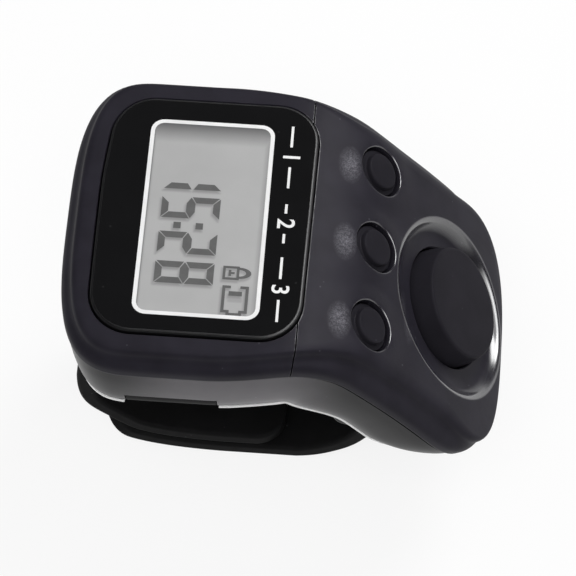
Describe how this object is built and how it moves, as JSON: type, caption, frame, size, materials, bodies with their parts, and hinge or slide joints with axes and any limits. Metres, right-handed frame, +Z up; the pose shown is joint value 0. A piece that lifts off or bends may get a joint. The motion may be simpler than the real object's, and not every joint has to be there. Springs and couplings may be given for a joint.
{
  "type": "digital tally counter",
  "caption": "Finger-worn digital tally counter: flat display body bent down to a keyed thumb side, sprung keys and two overlapping silicone strap bands.",
  "frame": {"origin": "middle of the object's bounding box in plan, on the surface that the strap's flat foot stands on", "axes": "+X from the display end to the keyed thumb end, the longest extent; +Y along the finger, away from the charging port; +Z up, out of the display"},
  "size_m": [0.0412, 0.0312, 0.0324],
  "materials": {
    "charcoal_plastic": "fine matt grain",
    "key_plastic": "fine matt grain",
    "base_plastic": "satin",
    "gloss_window": "polished, printed from behind",
    "silicone": "matt silicone",
    "display_glass": "polariser film",
    "white_plastic": "moulded",
    "clear_plastic": "polished",
    "connector_rubber": "layered elastomer",
    "circuit_board": "solder mask",
    "chip_resin": "moulded resin",
    "bright_steel": "plain",
    "battery_foil": "foil pouch",
    "foam": "closed-cell foam",
    "amber_film": "polyimide film"
  },
  "bodies": {
    "case": {"top_housing": "charcoal_plastic", "key_panel": "charcoal_plastic", "base_shell": "base_plastic", "display_window": "gloss_window", "window_tape": "foam", "lcd_panel": "display_glass", "light_guide": "clear_plastic", "backlight_led": "white_plastic", "lcd_holder": "white_plastic", "zebra_strip": "connector_rubber", "main_board": "circuit_board", "controller_chip": "chip_resin", "crystal": "bright_steel", "charge_chip": "chip_resin", "battery": "battery_foil", "battery_pad": "foam", "charging_port": "bright_steel", "key_board": "circuit_board", "ribbon_link": "amber_film", "count_switch": "chip_resin", "rear_switch": "chip_resin", "middle_switch": "chip_resin", "front_switch": "chip_resin", "screw_1": "bright_steel", "screw_2": "bright_steel", "screw_3": "bright_steel", "screw_4": "bright_steel", "strap_pin_left": "bright_steel", "strap_pin_right": "bright_steel"},
    "count_key": {"count_button": "key_plastic", "count_plunger": "white_plastic"},
    "rear_key": {"key_rear": "key_plastic", "rear_plunger": "white_plastic"},
    "middle_key": {"key_middle": "key_plastic", "middle_plunger": "white_plastic"},
    "front_key": {"key_front": "key_plastic", "front_plunger": "white_plastic"},
    "port_flap": {"port_cover": "silicone"},
    "band_left": {"strap_left": "silicone"},
    "band_right": {"strap_right": "silicone"}
  },
  "joints": [
    {"name": "count_press", "type": "slide", "parent": "case", "child": "count_key", "axis": [-0.8123, 0, -0.5832], "range_m": [0, 0.0006], "stiffness_N_per_m": 600},
    {"name": "rear_press", "type": "slide", "parent": "case", "child": "rear_key", "axis": [-0.7163, 0, -0.6978], "range_m": [0, 0.0004], "stiffness_N_per_m": 500},
    {"name": "middle_press", "type": "slide", "parent": "case", "child": "middle_key", "axis": [-0.7163, 0, -0.6978], "range_m": [0, 0.0004], "stiffness_N_per_m": 500},
    {"name": "front_press", "type": "slide", "parent": "case", "child": "front_key", "axis": [-0.7163, 0, -0.6978], "range_m": [0, 0.0004], "stiffness_N_per_m": 500},
    {"name": "port_cover_swing", "type": "hinge", "parent": "case", "child": "port_flap", "pos_m": [-0.01379, -0.01475, 0.02445], "axis": [0, 0, -1], "range_deg": [0, 90]},
    {"name": "strap_left_swing", "type": "hinge", "parent": "case", "child": "band_left", "pos_m": [-0.01701, 0, 0.0196], "axis": [0, -1, 0], "range_deg": [0, 18]},
    {"name": "strap_right_swing", "type": "hinge", "parent": "case", "child": "band_right", "pos_m": [0.00659, 0, 0.01325], "axis": [0, -1, 0], "range_deg": [0, 34]}
  ]
}
